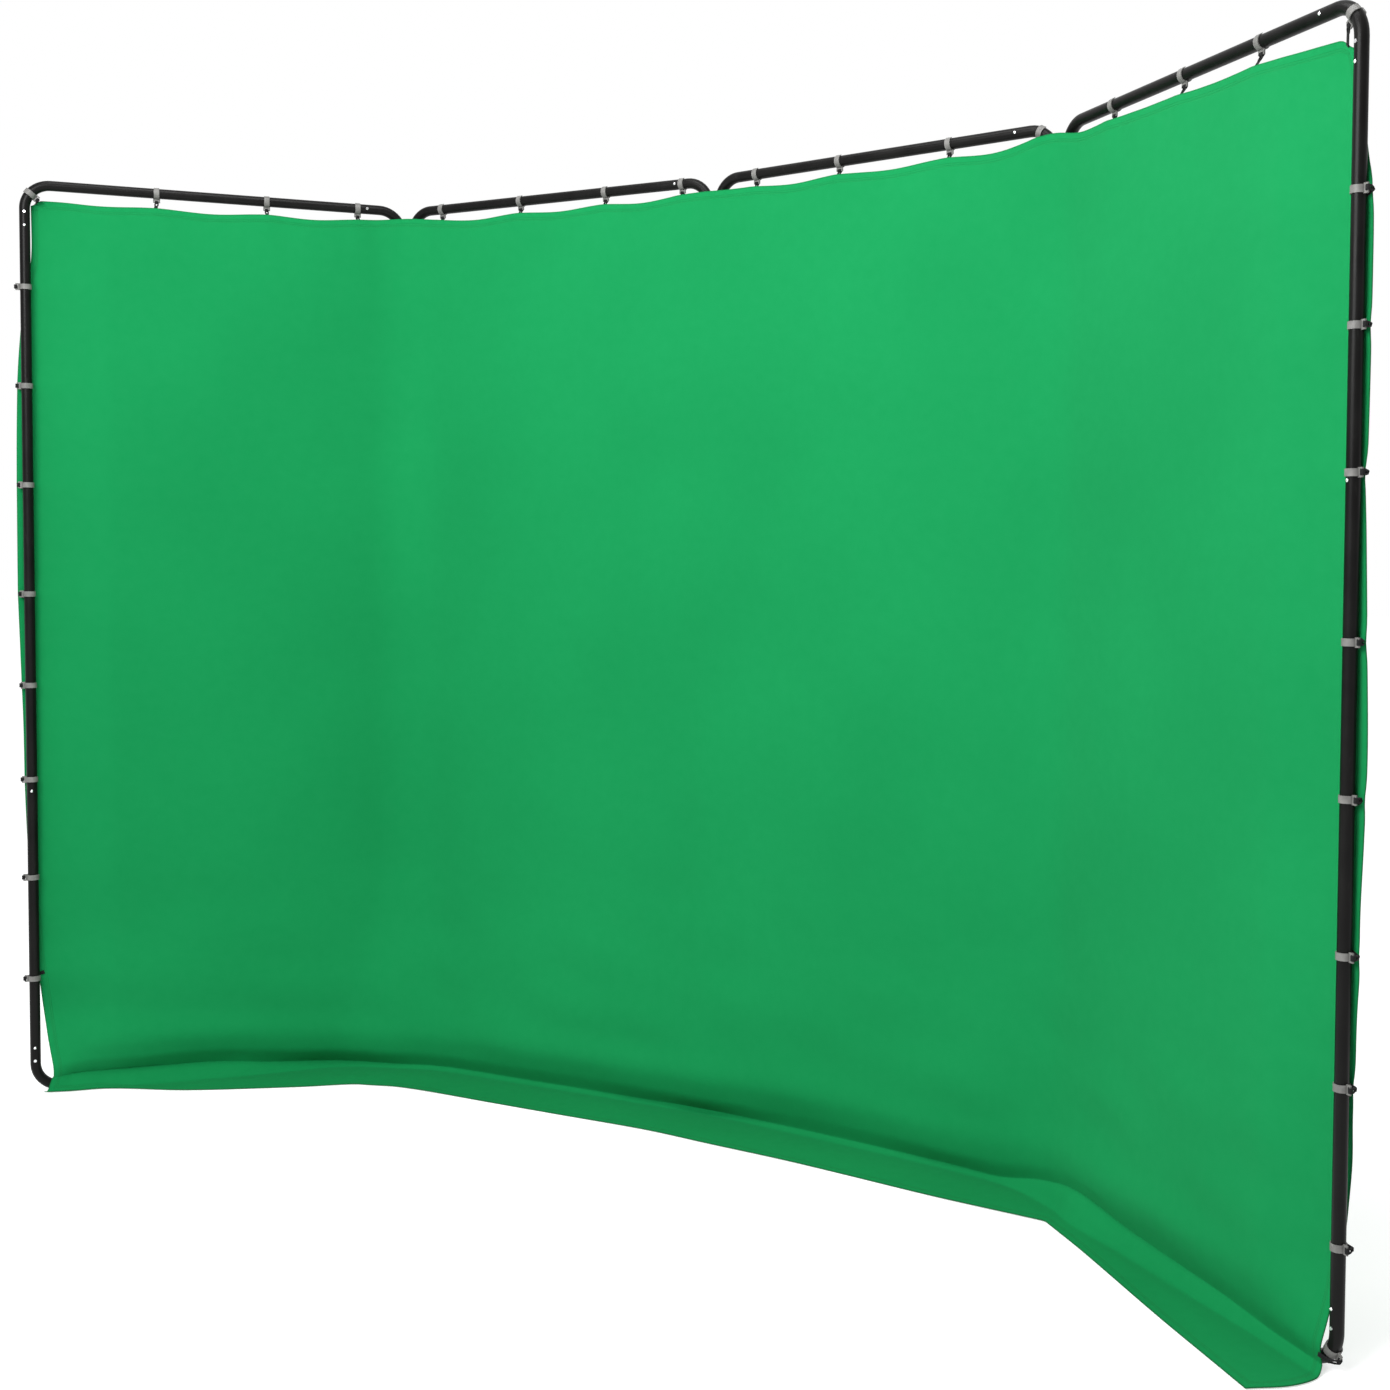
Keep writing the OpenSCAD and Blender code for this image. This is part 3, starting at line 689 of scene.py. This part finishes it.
# the cloth's own coordinates: lengths measured along the cloth, its width over the rows well above
# the crease
WALL_ROWS = 150
across = np.zeros(grid.shape[:2])
across[1:] = np.cumsum(np.linalg.norm(np.diff(grid, axis=0), axis=2), axis=0)
across = across - across[len(columns) // 2] + 2.0
down_length = np.zeros(grid.shape[:2])
down_length[:, 1:] = np.cumsum(np.linalg.norm(np.diff(grid, axis=1), axis=2), axis=1)
mean_across = across[:, :WALL_ROWS].mean(1)[:, None] + 0 * across
from_left = across - across[:1]
from_right = across[-1:] - across
from_top = down_length
from_front = down_length[:, -1:] - down_length
from_side = np.minimum(from_left, from_right)
from_end = np.minimum(from_top, from_front)
hem_distance = np.minimum(from_side, from_end)
hem_run = np.where(from_side < from_end, down_length, mean_across)

# normals of the whole grid, so that the three pieces shade as one cloth
du = np.gradient(grid, axis=0)
dv = np.gradient(grid, axis=1)
normal = np.cross(du, dv)
normal /= np.maximum(np.linalg.norm(normal, axis=2), 1e-9)[..., None]
facing = np.array([FRONT[int(np.clip(c // PITCH, 0, 3))] for c in columns])
if np.mean(np.sum(normal[:, 40, :2] * facing, axis=1)) < 0:
    normal = -normal

THIN, THICK = 0.0009, 0.0021
thickness = THIN + (THICK - THIN) * (hem_distance < HEM_W)


def cloth_piece(name, first, last):
    """One length of the cloth as a thin closed shell, from column first to column last."""
    p = grid[first:last + 1]
    n = normal[first:last + 1]
    half = (thickness[first:last + 1] / 2)[..., None]
    front, back = p + n * half, p - n * half
    nc, nr = p.shape[0], p.shape[1]
    verts = np.concatenate([front.reshape(-1, 3), back.reshape(-1, 3)])
    count = nc * nr
    index = np.arange(count).reshape(nc, nr)
    a, b, c, d = index[:-1, :-1], index[1:, :-1], index[1:, 1:], index[:-1, 1:]
    quads = np.stack([a, d, c, b], axis=-1).reshape(-1, 4)
    e1, e2 = verts[quads[0][1]] - verts[quads[0][0]], verts[quads[0][3]] - verts[quads[0][0]]
    if np.dot(np.cross(e1, e2), n[0, 0]) < 0:
        quads = quads[:, ::-1]
    faces = quads.tolist() + (quads[:, ::-1] + count).tolist()
    ring = list(index[:, 0]) + list(index[-1, 1:]) + list(index[-2::-1, -1]) + list(index[0, -2:0:-1])
    for i, j in zip(ring, ring[1:] + ring[:1]):
        faces.append([int(i), int(j), int(j) + count, int(i) + count])
    mesh = bpy.data.meshes.new(name)
    mesh.from_pydata(verts.tolist(), [], faces)
    mesh.polygons.foreach_set("use_smooth", [True] * len(mesh.polygons))
    flat_uv = np.stack([mean_across[first:last + 1], down_length[first:last + 1]], axis=-1).reshape(-1, 2)
    edge_uv = np.stack([hem_run[first:last + 1], hem_distance[first:last + 1]], axis=-1).reshape(-1, 2)
    loops = np.zeros(len(mesh.loops), int)
    mesh.loops.foreach_get("vertex_index", loops)
    for key, values in (("cloth", flat_uv), ("hem", edge_uv)):
        layer = mesh.uv_layers.new(name=key)
        both = np.concatenate([values, values])
        layer.data.foreach_set("uv", both[loops].reshape(-1).astype(np.float32))
    mesh.validate()
    both_normals = np.concatenate([n.reshape(-1, 3), -n.reshape(-1, 3)])
    mesh.normals_split_custom_set_from_vertices(both_normals.tolist())
    mesh.materials.append(GREEN)
    piece = bpy.data.objects.new(name, mesh)
    scene.collection.objects.link(piece)
    return piece


def column_at(s):
    return int(np.argmin(abs(columns - s)))


LEFT_CUT, RIGHT_CUT = column_at(1.5 * PITCH), column_at(2.5 * PITCH)
PIECES = [
    ("backdrop_cloth_left", 0, LEFT_CUT, 1, ["panel_1_cloth", "panel_2_cloth"]),
    ("backdrop_cloth_middle", LEFT_CUT, RIGHT_CUT, 2, ["panel_3_cloth"]),
    ("backdrop_cloth_right", RIGHT_CUT, len(columns) - 1, 3, ["panel_4_cloth"]),
]
for name, first, last, hinge, stands_for in PIECES:
    piece = cloth_piece(name, first, last)
    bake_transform(piece)
    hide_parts(*stands_for)


# ---------------------------------------------------------------- elastics from the clips to the hem
BEND_R = 0.060
SLOT_AT = 0.0195
BEND_TOP, BEND_LOW = RAIL_Z - BEND_R, TUBE_R + BEND_R


def clip_eye(n, centre):
    """The middle of the slot in a clip's tab, the way the tab points, and the way its tube runs, as
    (u, z) pairs in the axes of panel n."""
    u, _, z = panel_local(n, centre)
    on_left = n == 0 and abs(u) < 0.02 and z < BEND_TOP
    on_right = n == 3 and abs(u - POST_PITCH) < 0.02 and BEND_LOW < z < BEND_TOP
    if on_left or on_right:
        side = 1.0 if on_right else -1.0
        axis = POST_PITCH if on_right else 0.0
        return np.array([axis + side * SLOT_AT, z]), np.array([side, 0.0]), np.array([0.0, 1.0])
    if BEND_R < u < POST_PITCH - BEND_R and z > 1:
        return np.array([u, RAIL_Z - SLOT_AT]), np.array([0.0, -1.0]), np.array([1.0, 0.0])
    middle = np.array([BEND_R if u < 0.4 else POST_PITCH - BEND_R, BEND_TOP if z > 1 else BEND_LOW])
    out = np.array([u, z]) - middle
    out /= np.linalg.norm(out)
    way = -out if z > 1 else out
    return middle + BEND_R * out + SLOT_AT * way, way, np.array([-out[1], out[0]])


def ribbon(data, path, widths, side, thick):
    """A flat band with rounded edges along a path of points; side is the way of its width."""
    verts, faces = data
    first = len(verts)
    path = [Vector(p) for p in path]
    for i, p in enumerate(path):
        ahead = (path[min(i + 1, len(path) - 1)] - path[max(i - 1, 0)]).normalized()
        across_it = (side - ahead * side.dot(ahead)).normalized()
        flat = ahead.cross(across_it)
        w, t = widths[i] / 2, thick / 2
        for a, b in ((1, 0.4), (0.8, 1), (-0.8, 1), (-1, 0.4), (-1, -0.4), (-0.8, -1), (0.8, -1), (1, -0.4)):
            verts.append(p + across_it * (a * w) + flat * (b * t))
    for i in range(len(path) - 1):
        for k in range(8):
            a, b = first + 8 * i + k, first + 8 * i + (k + 1) % 8
            faces.append((a, b, b + 8, a + 8))
    faces.append(tuple(first + k for k in range(7, -1, -1)))
    faces.append(tuple(first + 8 * (len(path) - 1) + k for k in range(8)))


def hem_target(point, on_top):
    """The grid point a little inside the nearest hem, and the cloth's front direction there."""
    inset = grid[:, 2:3] if on_top else np.concatenate([grid[3:4], grid[-4:-3]])
    distance = np.linalg.norm(inset - np.array(point), axis=2)
    i, j = np.unravel_index(int(np.argmin(distance)), distance.shape)
    at = (i, 2) if on_top else ((3, j) if i == 0 else (len(columns) - 4, j))
    return Vector(grid[at]), Vector(normal[at])


def slot_loop(data, start, down, front, side):
    """The end of the elastic, looped round the bar of the clip's slot; returns its lowest point."""
    tip = start + down * 0.0058
    loop = [start, start + front * 0.0026, start + down * 0.0030 + front * 0.0032, tip + front * 0.0014,
            tip - front * 0.0014, start + down * 0.0030 - front * 0.0032, start - front * 0.0026, start]
    ribbon(data, loop, [0.0098] * len(loop), side, 0.0016)
    return tip


def hem_tape(data, joint, end, side, on_top):
    """The flat tape from the two strands to the back of the hem."""
    along_end = (end - joint).normalized()
    tape = [joint - along_end * 0.002, joint, joint.lerp(end, 0.4), joint.lerp(end, 0.8), end,
            end + along_end * 0.003]
    if on_top:
        tape[-1] = end - Vector((0, 0, 0.005))
    ribbon(data, tape, [0.0070, 0.0086, 0.0090, 0.0090, 0.0094, 0.0094], side, 0.0018)


def strap(data, n, centre):
    """One elastic from a clip of panel n: a loop in its slot, two strands, and a tape on the hem."""
    eye, way, run = clip_eye(n, centre)

    def place(uz, off=0.0):
        return panel_vector(n, float(uz[0]), off, float(uz[1]))

    start = place(eye)
    down = place(eye + way) - start
    side = place(eye + run) - start
    on_top = abs(way[1]) > 0.99 or n == 2
    on_post = abs(way[0]) > 0.99
    on_low_bend = way[0] > 0.2 and eye[1] < 0.1
    target, outward = hem_target(place(eye + 0.012 * way), on_top)
    end = target - outward * 0.0022 if on_top else target + outward * 0.0023
    if on_low_bend:
        i = len(columns) - 1
        near = np.array(place((eye[0] - 0.02, 0.03), 0.015))
        j = int(np.argmin(np.linalg.norm(grid[i] - near, axis=1)))
        end = Vector(grid[i, j]) + Vector(normal[i, j]) * 0.0022
        joint = place((eye[0] - 0.006, eye[1] - 0.002), 0.0165)
    elif on_post:
        joint = place(eye - 0.001 * way, -0.0140)
    else:
        joint = (start + down * 0.0085) * 0.55 + (start * 0.3 + end * 0.7) * 0.45
    tip = slot_loop(data, start, down, Vector((*FRONT[n], 0)), side)
    for k in (-1, 1):
        spread = side * (0.0032 * k)
        middle = (tip + joint) * 0.5 + spread * 1.15
        ribbon(data, [tip + spread, middle, joint + spread * 0.5], [0.0036, 0.0034, 0.0038], side, 0.0022)
    hem_tape(data, joint, end, side, on_top)


def hem_straps(n):
    """All elastics of panel n as one piece that rides on it."""
    data = ([], [])
    for centre in solid_centres(f"panel_{n + 1}_clips"):
        strap(data, n, centre)
    mesh = bpy.data.meshes.new(f"hem_straps_{n + 1}")
    mesh.from_pydata([tuple(v) for v in data[0]], [], data[1])
    mesh.polygons.foreach_set("use_smooth", [True] * len(mesh.polygons))
    mesh.validate()
    mesh.materials.append(FINISH["elastic_black"])
    straps = bpy.data.objects.new(f"hem_straps_{n + 1}", mesh)
    scene.collection.objects.link(straps)
    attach(straps, f"panel_{n + 1}")
    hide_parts(f"panel_{n + 1}_elastics")


for n in range(4):
    hem_straps(n)


# ---------------------------------------------------------------- floor, light
floor_mesh = bpy.data.meshes.new("floor")
floor_mesh.from_pydata([(-40, -40, 0), (40, -40, 0), (40, 40, 0), (-40, 40, 0)], [], [(0, 1, 2, 3)])
floor_mesh.materials.append(floor_material())
floor = bpy.data.objects.new("floor", floor_mesh)
scene.collection.objects.link(floor)


def white_studio():
    """A white surround, dimmer on the side that the cloth faces so that its folds keep their shade."""
    world = bpy.data.worlds.new("studio")
    scene.world = world
    world.use_nodes = True
    tree = world.node_tree
    background = tree.nodes.get("Background") or tree.nodes.new("ShaderNodeBackground")
    way = tree.nodes.new("ShaderNodeTexCoord")
    parts = tree.nodes.new("ShaderNodeSeparateXYZ")
    tree.links.new(way.outputs["Generated"], parts.inputs[0])
    level_of = tree.nodes.new("ShaderNodeMapRange")
    for key, number in (("From Min", -0.4), ("From Max", 0.3), ("To Min", 0.52), ("To Max", 1.0)):
        level_of.inputs[key].default_value = number
    tree.links.new(parts.outputs[1], level_of.inputs["Value"])
    background.inputs[0].default_value = rgb(1, 1, 1)
    tree.links.new(level_of.outputs[0], background.inputs[1])


def area_light(name, place, aim, size, power):
    data = bpy.data.lights.new(name, "AREA")
    data.shape = "RECTANGLE"
    data.size, data.size_y = size
    data.energy = power
    light = bpy.data.objects.new(name, data)
    scene.collection.objects.link(light)
    light.location = place
    light.rotation_euler = (Vector(aim) - Vector(place)).to_track_quat("-Z", "Y").to_euler()


white_studio()
area_light("key", (0.4, -3.4, 3.0), (1.5, -0.2, 1.85), (2.4, 1.8), 192)
area_light("overhead", (0.7, -1.3, 4.5), (0.7, -0.5, 0.0), (3.0, 1.0), 98)

scene.view_settings.view_transform = "Standard"
